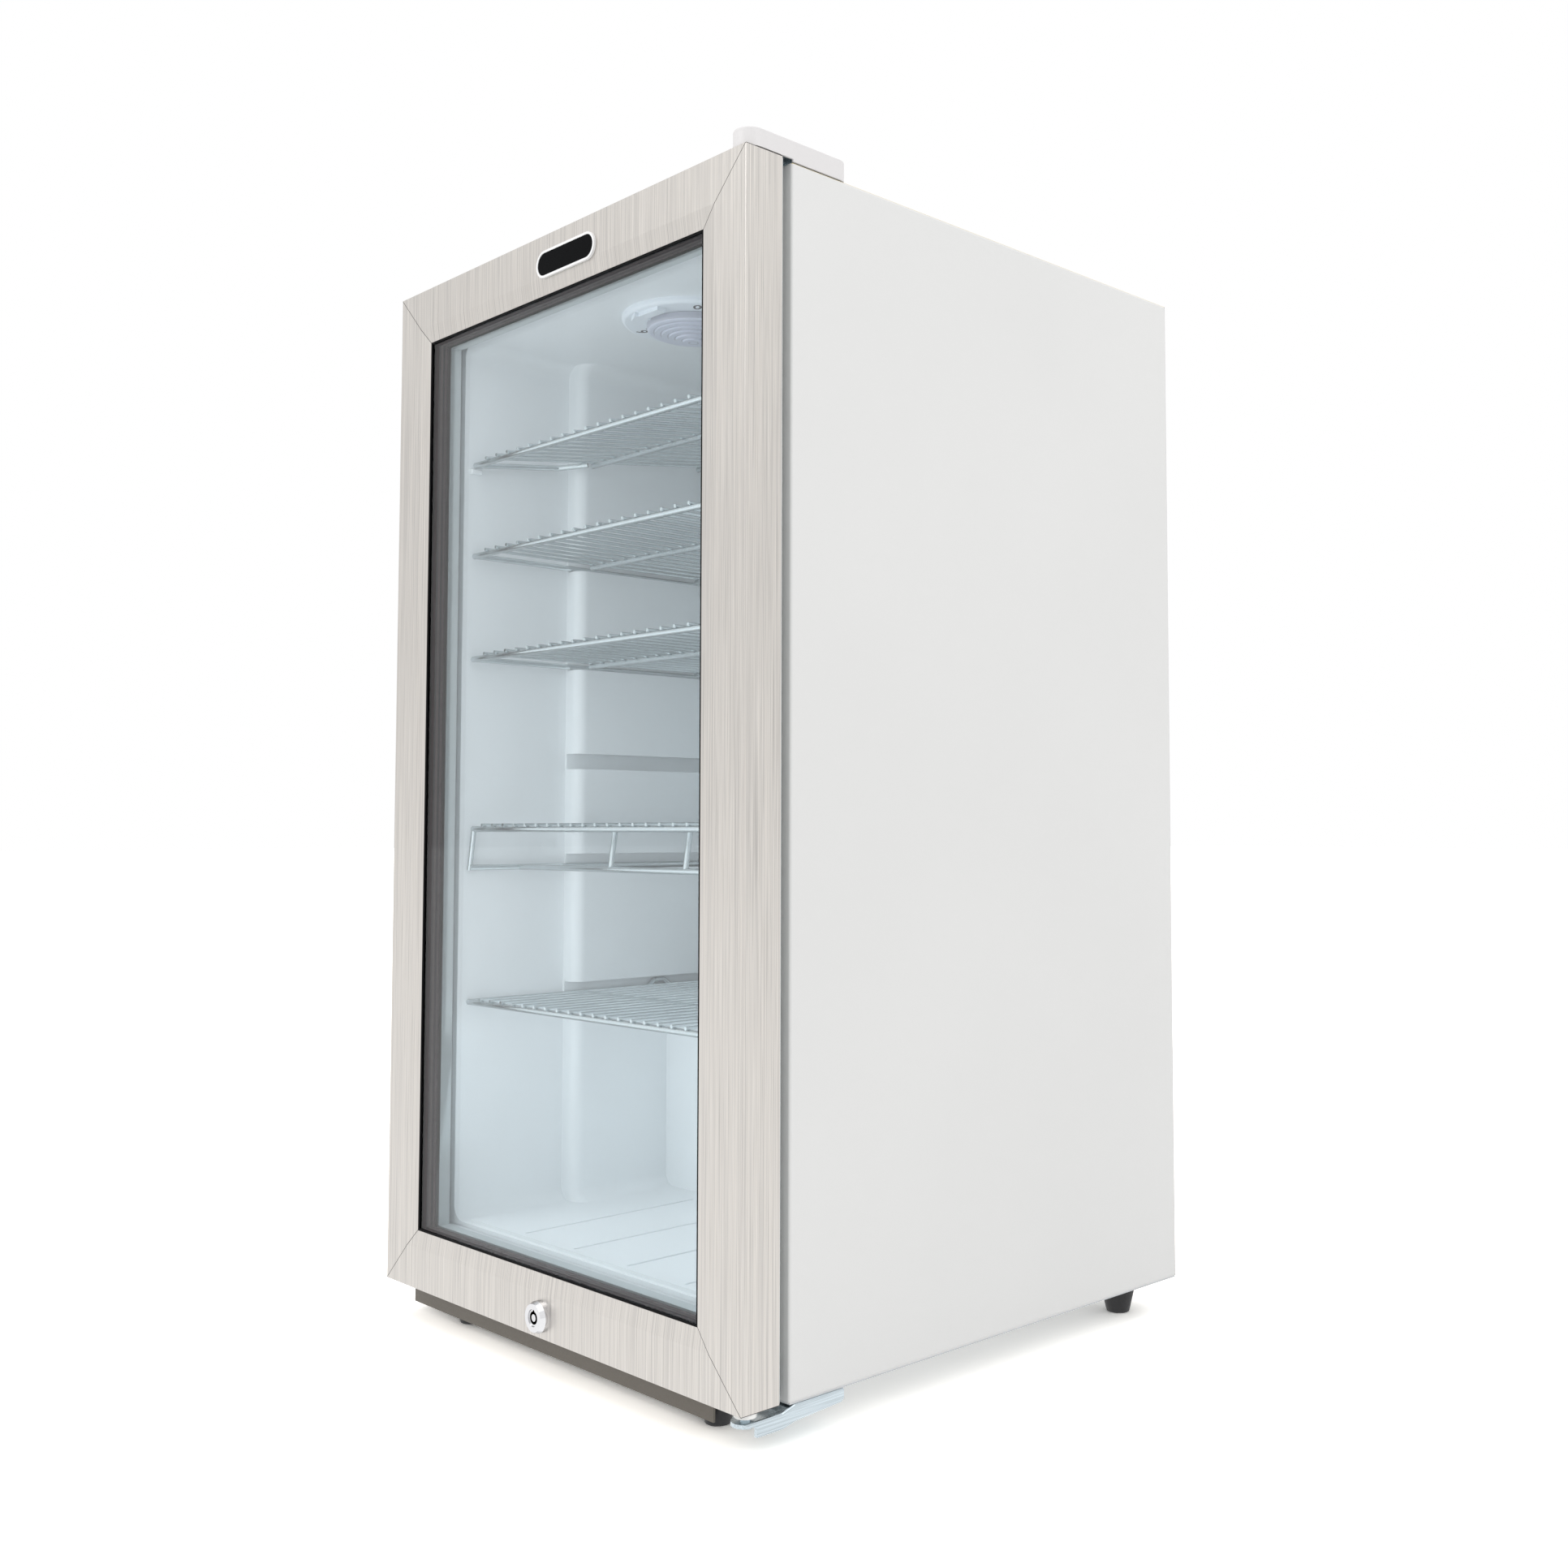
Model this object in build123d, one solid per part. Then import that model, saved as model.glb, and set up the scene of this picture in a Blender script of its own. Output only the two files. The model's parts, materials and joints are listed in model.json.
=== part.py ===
from build123d import *

import os
from math import cos, degrees, radians, tan

# Compact glass-door reach-in refrigerator, hinged on the right as seen from the front.
# Frame: origin on the floor under the middle of the footprint, +X to the viewer's right,
# +Y from the door towards the back, +Z up. Millimetres.

os.makedirs("parts", exist_ok=True)

# Driving dimensions
width = 432.0
door_height = 786.6
door_thickness = 32.2
gasket_gap = 7.2
cabinet_depth = 415.2
cabinet_height = 787.6
floor_gap = 26.0
lock_stand = 6.0
cover_height = 12.4

half = width / 2
total_depth = lock_stand + door_thickness + gasket_gap + cabinet_depth
door_front = -total_depth / 2 + lock_stand
door_back = door_front + door_thickness
cab_front = door_back + gasket_gap
cab_back = total_depth / 2
cab_bottom = floor_gap
cab_top = cab_bottom + cabinet_height
door_bottom = cab_bottom + 2.0
door_top = door_bottom + door_height

# Cabinet walls
sheet = 0.8
liner_wall = 2.0
wall_front = 40.0
wall_rear = 58.0
step_depth = 100.0
step_corner = 9.0
rear_wall = 39.6
ceiling = cab_top - 35.6
cavity_floor = cab_bottom + 48.3
hump_top = door_bottom + 205.0
hump_front = cab_front + 195.6
cavity_back = cab_back - rear_wall
groove_height = 13.0
groove_half = half - 42.0
groove_levels = [door_bottom + z for z in (220.5, 327.5, 411.5, 495.5, 579.5)]
top_shelf_level = door_bottom + 663.5
bay_front = hump_front + 23.0
bay_top = hump_top - 27.0

# Door frame
rail_width = 44.0
flat_width = 31.0
bevel_depth = 1.8
skin = 1.0
glass_thickness = 4.0
outer_glass_y = door_front + 3.0
spacer_depth = 12.0
inner_glass_y = outer_glass_y + glass_thickness + spacer_depth
glass_edge = 37.0
frame_lip = 44.8
spacer_lip = 44.3
liner_plate_y = door_back - 3.2

# Hinge
hinge_x = half - 7.5
hinge_y = door_front + 10.0
pin_radius = 3.5
bush_bore = 3.55
bush_radius = 5.0
collar_radius = 7.0

# Lock
lock_x = 0.0
lock_z = door_bottom + 15.0
barrel_radius = 8.0
plug_radius = 5.9

# Shelves
shelf_front = cab_front + 8.6
shelf_back = cavity_back - 22.0
side_rod = groove_half - 3.0
rod_diameter = 4.6
wire_diameter = 2.6
wire_pitch = 15.3
wire_count = 21
groove_rest = -groove_height / 2 + 0.3 + rod_diameter / 2
wire_rise = rod_diameter / 2 + wire_diameter / 2 - 0.5
wire_end = 2.6
side_diameter = rod_diameter - 0.2
strut_diameter = rod_diameter - 0.4
grid_half = half - wall_rear - 3
second_rod = 102.0
third_rod = 215.0
stop_y = cab_front + 197.0
raised_height = 30.9
raised_support = 45.0
strut_lean = 5.0
tilt = radians(7.3)
tilt_pivot = shelf_front + second_rod
tilt_lift = 3.5
side_rod_end = -24.0
rest_height = 4.0
rest_length = 10.0

# Thermostat in the ceiling
dial_x = 4.0
dial_y = cab_front + 92.0
dial_radius = 36.0

# Feet
foot_front_x = 150.0
foot_front_y = cab_front - 2.1
foot_back_x = 184.0
foot_back_y = cab_back - 34.3


def slab(x, y, z):
    """Box between the given (low, high) pairs."""
    middle = Pos((x[0] + x[1]) / 2, (y[0] + y[1]) / 2, (z[0] + z[1]) / 2)
    return middle * Box(x[1] - x[0], y[1] - y[0], z[1] - z[0])


def ring(y, edge, inner, bottom=None, inner_bottom=None):
    """Rectangular ring of the door outline, from inset edge to inset inner, between two depths."""
    low = edge if bottom is None else bottom
    low_inner = inner if inner_bottom is None else inner_bottom
    outer = slab((-half + edge, half - edge), y, (door_bottom + low, door_top - edge))
    hole_y = (y[0] - 1, y[1] + 1)
    hole_z = (door_bottom + low_inner, door_top - inner)
    return outer - slab((-half + inner, half - inner), hole_y, hole_z)


def rod(start, end, diameter):
    """Round bar between two points."""
    axis = Vector(*end) - Vector(*start)
    plane = Plane(origin=start, z_dir=axis)
    return Solid.make_cylinder(diameter / 2, axis.length, plane)


def post(x, y, z, radius):
    """Upright cylinder between the two heights z."""
    return rod((x, y, z[0]), (x, y, z[1]), 2 * radius)


def shaft(x, z, y, radius):
    """Cylinder along Y between the two depths y."""
    return rod((x, y[0], z), (x, y[1], z), 2 * radius)


def pipe(points, radius, diameter):
    """Tube solid along straight runs joined by arcs of one radius."""
    path = FilletPolyline(*points, radius=radius)
    start = Plane(origin=points[0], z_dir=Vector(*points[1]) - Vector(*points[0]))
    return sweep(start * Circle(diameter / 2), path=path)


def prism(points, z):
    """Upright prism of a plan outline between the two heights z."""
    face = make_face(Polyline(*points, close=True))
    return Pos(0, 0, z[0]) * extrude(face, z[1] - z[0])


def stadium_prism(x, y, z, radius):
    """Plate with fully rounded front corners: a plan rectangle x by y whose front edge is round."""
    body = slab(x, (y[0] + radius, y[1]), z)
    return body + post((x[0] + x[1]) / 2, y[0] + radius, z, radius)


def save(shape, name):
    export_step(shape, "parts/" + name + ".step")


# ---------------------------------------------------------------- cabinet

def cavity(grow):
    """The cold space, enlarged by grow: wide front, narrower rear with shelf grooves, less the hump."""
    z = (cavity_floor - grow, ceiling + grow)
    height = z[1] - z[0]
    middle = (z[0] + z[1]) / 2
    front_half = half - wall_front + grow
    rear_half = half - wall_rear + grow
    step = cab_front + step_depth
    front_face = Plane(origin=(0, cab_front - 1, middle), z_dir=(0, 1, 0), x_dir=(1, 0, 0))
    front_sketch = front_face * RectangleRounded(2 * front_half, height, 12 + grow)
    solid = extrude(front_sketch, step + grow - cab_front + 1)
    rear_face = Plane(origin=(0, step, middle), z_dir=(0, 1, 0), x_dir=(1, 0, 0))
    rear_sketch = rear_face * RectangleRounded(2 * rear_half, height, 12 + grow)
    solid += extrude(rear_sketch, cavity_back + grow - step)
    corners = [edge for edge in solid.edges().filter_by(Axis.Z)
               if abs(edge.center().Y - step - grow) < 0.1 and abs(abs(edge.center().X) - rear_half) < 0.1]
    solid = fillet(corners, step_corner - grow)
    x = (-groove_half - grow, groove_half + grow)
    for level in groove_levels:
        groove_z = (level - groove_height / 2 - grow, level + groove_height / 2 + grow)
        solid += slab(x, (step - 2, cavity_back - 5 + grow), groove_z)
    hump_z = (cavity_floor - grow - 1, hump_top - grow)
    solid -= slab((-half, half), (hump_front + grow, cab_back), hump_z)
    return solid


def make_liner():
    mouth_ring = slab((-half + 16, half - 16), (cab_front, cab_front + liner_wall),
                      (cab_bottom + 16, cab_top - 16))
    solid = (cavity(liner_wall) + mouth_ring) - cavity(0)
    clip = slab((-half, half), (cab_front - 10, cab_front), (cab_bottom, cab_top))
    solid -= clip
    for side in (-1.5, -0.5, 0.5, 1.5):
        x = side * 65.0
        groove_y = (cab_front + 10, hump_front - 18)
        solid -= slab((x - 1.5, x + 1.5), groove_y, (cavity_floor - 1.0, cavity_floor + 1))
    lip = slab((-half + 60, half - 60), (cab_front + 3, cab_front + 8),
               (cavity_floor - 0.5, cavity_floor + 3))
    solid += lip
    rod_gap = rod_diameter / 2 + 0.5
    rest_y = (shelf_front + 1, shelf_back - 4)
    rest_top = [tilt_height(top_shelf_level, y) - rod_gap for y in (shelf_front, shelf_back)]
    solid += shelf_rest(half - wall_front, 4.0, rest_y[0], rest_top[0])
    solid += shelf_rest(half - wall_rear, 6.0, rest_y[1], rest_top[1])
    solid -= post(dial_x, dial_y, (ceiling - 1, ceiling + 4), 12)
    solid -= post(0, cavity_back - 12, (hump_top - 4, hump_top + 2), 4.5)
    return solid


def make_shell():
    outer = slab((-half, half), (cab_front, cab_back), (cab_bottom, cab_top))
    outer = fillet(outer.edges().filter_by(Axis.Y), 3.0)
    outer = fillet(outer.edges().filter_by(Axis.Z), 2.0)
    inner = slab((-half + sheet, half - sheet), (cab_front + sheet, cab_back + 1),
                 (cab_bottom - 1, cab_top - sheet))
    solid = outer - inner
    solid -= slab((-half + 16, half - 16), (cab_front - 1, cab_front + 3),
                  (cab_bottom + 16, cab_top - 16))
    solid -= slab((-half - 1, half + 1), (cab_front + sheet, cab_back + 1),
                  (cab_bottom - 1, cab_bottom + sheet))
    for screw_y in top_screw_ys:
        solid -= post(top_screw_x, screw_y, (cab_top - 5, cab_top + 5), 2.5)
    return solid


top_screw_x = half - 11.0
top_screw_ys = [cab_front + 12, cab_front + 24, cab_front + 36]
bottom_screw_x = half - 20.0
bottom_screw_ys = [cab_front + 22, cab_front + 40]


def make_base_plate():
    solid = slab((-half + sheet, half - sheet), (cab_front + sheet, bay_front),
                 (cab_bottom, cab_bottom + 1.2))
    for screw_y in bottom_screw_ys:
        solid -= post(bottom_screw_x, screw_y, (cab_bottom - 2, cab_bottom + 4), 2.5)
    return solid


def make_back_panel():
    return slab((-half + sheet, half - sheet), (cab_back - sheet, cab_back),
                (bay_top + 1, cab_top - sheet))


def make_bay_wall():
    """Folded sheet between the foam and the compressor bay."""
    upright = slab((-half + sheet, half - sheet), (bay_front, bay_front + sheet),
                   (cab_bottom, bay_top))
    roof = slab((-half + sheet, half - sheet), (bay_front, cab_back - sheet),
                (bay_top, bay_top + sheet))
    solid = upright + roof
    solid -= post(0, cavity_back - 12, (bay_top - 1, bay_top + 3), 6)
    solid -= post(suction_x, pipe_y, (bay_top - 1, bay_top + 3), 4)
    solid -= post(discharge_x, pipe_y, (bay_top - 1, bay_top + 3), 2.5)
    return solid


suction_x = -30.0
discharge_x = 90.0
pipe_y = cab_back - 24.0


def evaporator_tube():
    """Serpentine brazed to the back of the evaporator plate."""
    y = cavity_back + liner_wall + 1.5 + 3.0
    left, right = -130.0, 130.0
    points = [(suction_x, y, bay_top + 30)]
    points.append((suction_x, y, hump_top + 40))
    levels = [hump_top + 40 + 60 * i for i in range(8)]
    side = 1
    for level in levels:
        x = right if side > 0 else left
        if level != levels[0]:
            points.append((-x, y, level))
        points.append((x, y, level))
        side = -side
    return pipe(points, 14, 6.0)


def condenser_tube(side):
    """Hot-gas serpentine taped to the inside of one outer side panel."""
    x = side * (half - sheet - 2.5)
    low, high = cab_bottom + 190, cab_top - 60
    ys = [cab_front + 60 + 45 * i for i in range(7)]
    points = []
    up = True
    for y in ys:
        first, last = (low, high) if up else (high, low)
        points.append((x, y, first))
        points.append((x, y, last))
        up = not up
    return pipe(points, 16, 5.0)


def evaporator_pocket():
    """Room in the foam for the evaporator serpentine and its riser."""
    y = (cavity_back + liner_wall + 1.5, cavity_back + liner_wall + 8)
    field = slab((-135, 135), y, (hump_top + 30, ceiling - 40))
    riser = slab((suction_x - 4, suction_x + 4), y, (bay_top, hump_top + 40))
    return field + riser


def condenser_pocket(side):
    """Room in the foam for one hot-gas serpentine."""
    x = sorted((side * (half - sheet), side * (half - sheet - 5.2)))
    return slab(x, (cab_front + 50, cab_front + 345), (cab_bottom + 180, cab_top - 50))


def make_foam():
    solid = slab((-half + sheet, half - sheet), (cab_front + sheet, cab_back - sheet),
                 (cab_bottom + 1.2, cab_top - sheet))
    solid -= cavity(liner_wall)
    solid -= slab((-half + 16, half - 16), (cab_front - 1, cab_front + liner_wall),
                  (cab_bottom + 16, cab_top - 16))
    solid -= slab((-half, half), (bay_front, cab_back), (cab_bottom, bay_top + sheet))
    solid -= slab((-150, 150), (cavity_back + liner_wall, cavity_back + liner_wall + 1.5),
                  (hump_top + 20, ceiling - 30))
    solid -= evaporator_pocket()
    for side in (-1, 1):
        solid -= condenser_pocket(side)
    solid -= post(0, cavity_back - 12, (bay_top - 1, hump_top + 4), 6)
    solid -= post(dial_x, dial_y, (ceiling - 1, ceiling + 24), 18)
    for screw_y in top_screw_ys:
        solid -= post(top_screw_x, screw_y, (cab_top - 13, cab_top + 5), 2.5)
    for screw_y in bottom_screw_ys:
        solid -= post(bottom_screw_x, screw_y, (cab_bottom - 2, cab_bottom + 13), 2.5)
    return solid


def make_grille():
    """Louvred cover of the compressor bay."""
    solid = slab((-half + sheet, half - sheet), (cab_back - sheet, cab_back),
                 (cab_bottom + 1.2, bay_top + 1))
    for column in range(4):
        x = -135 + 90 * column
        for row in range(9):
            z = cab_bottom + 30 + 15 * row
            solid -= slab((x - 36, x + 36), (cab_back - 2, cab_back + 1), (z, z + 5))
    solid -= shaft(gland_x, gland_z, (cab_back - 3, cab_back + 3), 6)
    return solid


gland_x = -195.0
gland_z = cab_bottom + 16.0


def make_gland():
    """Cord inlet bush in the grille."""
    solid = shaft(gland_x, gland_z, (cab_back - 12, cab_back), 6)
    solid += shaft(gland_x, gland_z, (cab_back - 4, cab_back - sheet), 8.5)
    solid -= shaft(gland_x, gland_z, (cab_back - 13, cab_back + 3), 3.8)
    return solid


# ---------------------------------------------------------------- compressor bay

compressor_x = 60.0
compressor_y = (bay_front + cab_back) / 2
tray_top = cab_bottom + 1.6
mount_offsets = [(-62, -46), (62, -46), (-62, 46), (62, 46)]
mount_top = tray_top + 10.0


def make_tray():
    solid = slab((-half + sheet, half - sheet), (bay_front + sheet, cab_back - sheet),
                 (cab_bottom, tray_top))
    solid -= post(compressor_x - 90, cab_back - 30, (cab_bottom - 1, tray_top + 1), 8)
    for side in (-1, 1):
        solid -= post(side * foot_back_x, foot_back_y, (cab_bottom - 1, tray_top + 1), 4)
    return solid


def make_mounts():
    solids = []
    for dx, dy in mount_offsets:
        x, y = compressor_x + dx, compressor_y + dy
        solids.append(post(x, y, (tray_top, mount_top), 9) - post(x, y, (tray_top - 1, mount_top + 1), 4))
    return Compound(children=solids)


def make_compressor():
    plate_z = (mount_top, mount_top + 2.5)
    base = slab((compressor_x - 74, compressor_x + 74), (compressor_y - 56, compressor_y + 56), plate_z)
    for dx, dy in mount_offsets:
        base -= post(compressor_x + dx, compressor_y + dy, (mount_top - 1, mount_top + 4), 4)
    body = post(compressor_x, compressor_y, (mount_top + 2, mount_top + 118), 56)
    body = fillet(body.edges().filter_by(GeomType.CIRCLE).sort_by(Axis.Z)[-1], 34)
    seam = post(compressor_x, compressor_y, (mount_top + 58, mount_top + 62), 59)
    stub = rod((compressor_x - 40, compressor_y, mount_top + 40),
               (compressor_x - 70, compressor_y, mount_top + 40), 8)
    stub_2 = rod((compressor_x, compressor_y + 30, mount_top + 80),
                 (compressor_x, compressor_y + 66, mount_top + 80), 7)
    return base + body + seam + stub + stub_2


def make_relay_cover():
    x = compressor_x + 58
    solid = slab((x, x + 26), (compressor_y - 22, compressor_y + 22), (mount_top + 20, mount_top + 66))
    solid = fillet(solid.edges().filter_by(Axis.Z), 4)
    cut = post(compressor_x, compressor_y, (mount_top, mount_top + 80), 59.3)
    return solid - cut


def make_suction_pipe():
    start = (compressor_x - 70, compressor_y, mount_top + 40)
    points = [start, (suction_x, compressor_y, mount_top + 40), (suction_x, pipe_y, mount_top + 40)]
    points.append((suction_x, pipe_y, bay_top + sheet))
    return pipe(points, 6, 6.0)


def make_discharge_pipe():
    z = mount_top + 80
    start = (compressor_x, compressor_y + 66, z)
    points = [start, (compressor_x, pipe_y, z), (discharge_x, pipe_y, z)]
    points.append((discharge_x, pipe_y, bay_top + sheet))
    return pipe(points, 4.5, 4.5)


def make_drier():
    body = rod((-120, compressor_y + 40, cab_bottom + 40), (-120, compressor_y + 40, cab_bottom + 130), 19)
    ends = rod((-120, compressor_y + 40, cab_bottom + 30), (-120, compressor_y + 40, cab_bottom + 140), 6)
    return body + ends


def make_drip_tray():
    z = (mount_top + 122, mount_top + 138)
    x = (compressor_x - 150, compressor_x + 20)
    y = (compressor_y - 40, compressor_y + 56)
    solid = slab(x, y, z)
    return solid - slab((x[0] + 2, x[1] - 2), (y[0] + 2, y[1] - 2), (z[0] + 2, z[1] + 1))


def make_drain_tube():
    z = (bay_top - 12, hump_top)
    y = cavity_back - 12
    return post(0, y, (z[0], z[1] - liner_wall), 6) - post(0, y, (z[0] - 1, z[1] + 1), 4.5)


def make_terminal_box():
    solid = slab((-205, -150), (compressor_y - 30, compressor_y + 20), (tray_top, tray_top + 36))
    return fillet(solid.edges().filter_by(Axis.Z), 3)


# ---------------------------------------------------------------- thermostat

def make_thermostat_housing():
    disc = Pos(dial_x, dial_y, ceiling - 2.5) * Cylinder(55, 5)
    disc = fillet(disc.edges().sort_by(Axis.Z)[0], 3)
    disc += post(dial_x, dial_y, (ceiling, ceiling + 2), 11.8)
    disc -= post(dial_x, dial_y, (ceiling - 6, ceiling + 3), 3.6)
    return disc


def make_thermostat_pointer():
    """Raised arrow on the housing that shows which way the knob turns."""
    y = dial_y - 45
    outline = [(-18, -1), (-5, -7.5), (-5, -4), (18, -4), (18, 4), (-5, 4), (-5, 7.5)]
    points = [(dial_x + x, y + dy) for x, dy in outline]
    return prism(points, (ceiling - 8, ceiling - 5))


def make_thermostat_knob():
    top = ceiling - 5.4
    solid = post(dial_x, dial_y, (top - 6, top), dial_radius)
    solid = fillet(solid.edges().filter_by(GeomType.CIRCLE).sort_by(Axis.Z)[0], 3)
    for index in range(5):
        radius = 30 - 5.4 * index
        z = top - 6 - 1.5 * (index + 1)
        solid += post(dial_x, dial_y, (z, top - 3), radius)
    solid += post(dial_x, dial_y, (top - 2, ceiling + 8), 3.5)
    return solid


def make_thermostat_body():
    """Switch block in the foam, above the liner."""
    low = ceiling + liner_wall
    solid = post(dial_x, dial_y, (low, low + 20), 17.5)
    return solid - post(dial_x, dial_y, (low - 1, ceiling + 9), 3.6)


# ---------------------------------------------------------------- shelves

def shelf_wires(front_y, back_y, z):
    """Parallel wires from front to back."""
    wires = []
    for index in range(wire_count):
        x = (index - (wire_count - 1) / 2) * wire_pitch
        wires.append(rod((x, front_y, z), (x, back_y, z), wire_diameter))
    return wires


def fuse(solids):
    return solids[0].fuse(*solids[1:])


def stop_bump(x, y, z):
    """Small arch on a side rod, which stops the shelf from sliding out by itself."""
    points = [(x, y - 13, z), (x, y - 5, z + 6), (x, y + 5, z + 6), (x, y + 13, z)]
    return [rod(points[i], points[i + 1], rod_diameter - 0.6) for i in range(3)]


def tilt_height(level, y):
    """Height of the sloping shelf's cross rods at depth y."""
    return level + groove_rest + tilt_lift + (y - tilt_pivot) * tan(tilt)


def shelf_rest(wall, reach, y, top):
    """Small moulded rest on both side walls, standing out by reach, with its top at that height."""
    span = (y - rest_length / 2, y + rest_length / 2)
    solid = slab((wall - reach, wall + 1), span, (top - rest_height, top))
    solid = chamfer(solid.edges().sort_by(Axis.X)[:4], 0.8)
    return solid + mirror(solid, Plane.YZ)


def flat_shelf_rods(level):
    z = level + groove_rest
    front, back = shelf_front, shelf_back
    rods = shelf_wires(front - wire_end, back + 2, z + wire_rise)
    for y in (front, back):
        rods.append(rod((-side_rod - 2, y, z), (side_rod + 2, y, z), rod_diameter))
    for y in (front + second_rod, front + third_rod):
        rods.append(rod((-grid_half, y, z), (grid_half, y, z), rod_diameter))
    for side in (-1, 1):
        x = side * side_rod
        rods.append(rod((x, front - 2, z), (x, back + 2, z), side_diameter))
    return rods


def make_flat_shelf(level):
    return fuse(flat_shelf_rods(level))


def make_bottom_shelf(level):
    """Lowest shelf, with a stop bump on each side rod."""
    rods = flat_shelf_rods(level)
    for side in (-1, 1):
        rods += stop_bump(side * side_rod, stop_y, level + groove_rest)
    return fuse(rods)


def make_raised_shelf(level):
    """Shelf whose grid stands on struts above its own side rods."""
    z = level + groove_rest
    top = z + raised_height
    front, back = shelf_front, shelf_back
    rods = shelf_wires(front - wire_end, back + 2, top + wire_rise)
    front_rod = side_rod - 1.2
    rods.append(rod((-front_rod, front, top), (front_rod, front, top), rod_diameter))
    for y in (front + second_rod, front + third_rod, back):
        rods.append(rod((-grid_half, y, top), (grid_half, y, top), rod_diameter))
    support = front + raised_support
    for y in (support, back):
        rods.append(rod((-side_rod - 2, y, z), (side_rod + 2, y, z), rod_diameter))
    for side in (-1, 1):
        x = side * side_rod
        foot = (x + side * 2, front - 1, z - 2)
        rods.append(rod(foot, (x - side * 2.6, front, top + 1), strut_diameter))
        rods.append(rod((x, front - 2, z), (x, back + 2, z), side_diameter))
        x = side * 3 * wire_pitch
        rods.append(rod((x, support, z - 1), (x, support + strut_lean, top + 3), strut_diameter))
        x = side * (grid_half - 3)
        rods.append(rod((x, back, z - 1), (x, back, top + 2), strut_diameter))
    return fuse(rods)


def make_tilted_shelf(level):
    """Top shelf, which slopes down towards the door and lies on four moulded rests."""
    depth_front = (tilt_pivot - shelf_front) / cos(tilt)
    depth_back = (shelf_back - tilt_pivot) / cos(tilt)
    rods = shelf_wires(-depth_front - wire_end, depth_back + 2, wire_rise)
    rods.append(rod((-side_rod - 2, -depth_front, 0), (side_rod + 2, -depth_front, 0), rod_diameter))
    for y in (0, 115, depth_back):
        rods.append(rod((-grid_half, y, 0), (grid_half, y, 0), rod_diameter))
    for side in (-1, 1):
        x = side * side_rod
        turn = (x, side_rod_end, 0)
        rods.append(rod((x, -depth_front - 2, 0), turn, side_diameter))
        rods.append(rod(turn, (side * (grid_half - 4), side_rod_end + 16, 0), side_diameter))
        rods.append(Pos(turn) * Sphere(side_diameter / 2))
    return Pos(0, tilt_pivot, tilt_height(level, tilt_pivot)) * Rot(degrees(tilt), 0, 0) * fuse(rods)


# ---------------------------------------------------------------- door

def rail_profile():
    """Folded sheet section: s runs inwards from the door's edge, t from front to back."""
    outer = [(0, 31), (0, 0.5), (0.15, 0.15), (0.5, 0), (flat_width, 0), (rail_width, bevel_depth)]
    inner = [(rail_width, 3.0), (rail_width - 1.1, 3.0), (rail_width - 1.1, 2.7),
             (flat_width, skin), (1.4, skin), (skin, 1.4), (skin, 31)]
    return outer + inner


mitre_gap = 0.15


def mitre_block(length):
    """Trapezium that trims a rail's ends to 45 degrees; the long side is the door's outer edge."""
    deep = rail_width + 2
    a = mitre_gap
    points = [(a, 0), (length - a, 0), (length - a - deep, deep), (deep + a, deep)]
    return make_face(Polyline(*points, close=True))


def make_rail(length):
    """Rail lying along +X with its outer edge on Z = 0 and its front on Y = 0."""
    points = [(0, t, s) for s, t in rail_profile()]
    face = make_face(Polyline(*points, close=True))
    bar = extrude(face, length, dir=(1, 0, 0))
    plane = Plane(origin=(0, 40, 0), x_dir=(1, 0, 0), z_dir=(0, -1, 0))
    block = extrude(plane * mitre_block(length), 50)
    return bar & block


def place_rail(name):
    rail = make_rail(width if "rail" in name else door_height)
    if name == "door_bottom_rail":
        return Pos(-half, door_front, door_bottom) * rail
    if name == "door_top_rail":
        return Pos(half, door_front, door_top) * Rot(0, 180, 0) * rail
    if name == "door_left_stile":
        return Pos(-half, door_front, door_top) * Rot(0, 90, 0) * rail
    return Pos(half, door_front, door_bottom) * Rot(0, -90, 0) * rail


def lock_hole(y):
    return shaft(lock_x, lock_z, y, barrel_radius)


def bush_holes():
    low = post(hinge_x, hinge_y, (door_bottom - 5, door_bottom + 16), bush_radius)
    high = post(hinge_x, hinge_y, (door_top - 16, door_top + 5), bush_radius)
    return low + high


def make_door_core():
    """Foamed extrusion ring inside the steel skin; it carries the glass."""
    solid = ring((door_front + skin, liner_plate_y), skin, flat_width - 1)
    solid += ring((outer_glass_y, liner_plate_y), flat_width - 1, glass_edge)
    corner = slab((-half, half), (door_front, door_front + 1.5), (door_bottom, door_top))
    rim = corner - slab((-half + 1.5, half - 1.5), (door_front - 1, door_front + 2),
                        (door_bottom + 1.5, door_top - 1.5))
    solid -= rim
    solid -= lock_hole((door_front - 1, door_back + 1))
    return solid - bush_holes()


def make_inner_frame():
    """White plastic ring that closes the back of the door and holds the inner pane."""
    solid = ring((liner_plate_y, door_back), skin, frame_lip)
    solid += ring((inner_glass_y + glass_thickness, liner_plate_y), glass_edge, frame_lip)
    return solid - lock_hole((door_front - 1, door_back + 1))


def make_pane(y):
    return slab((-half + glass_edge, half - glass_edge), (y, y + glass_thickness),
                (door_bottom + glass_edge, door_top - glass_edge))


def make_gasket():
    y = (door_back, door_back + 6.8)
    solid = ring(y, 12, 34, 25, 43)
    solid -= ring((y[0] + 2.2, y[1] - 1.6), 14.5, 19.5, 27, 31)
    return solid


badge_x = 19.0
badge_z = door_bottom + 764.0


def badge_slot(long, high, y):
    plane = Plane(origin=(badge_x, y[0], badge_z), x_dir=(1, 0, 0), z_dir=(0, 1, 0))
    return extrude(plane * SlotOverall(long, high), y[1] - y[0])


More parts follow.
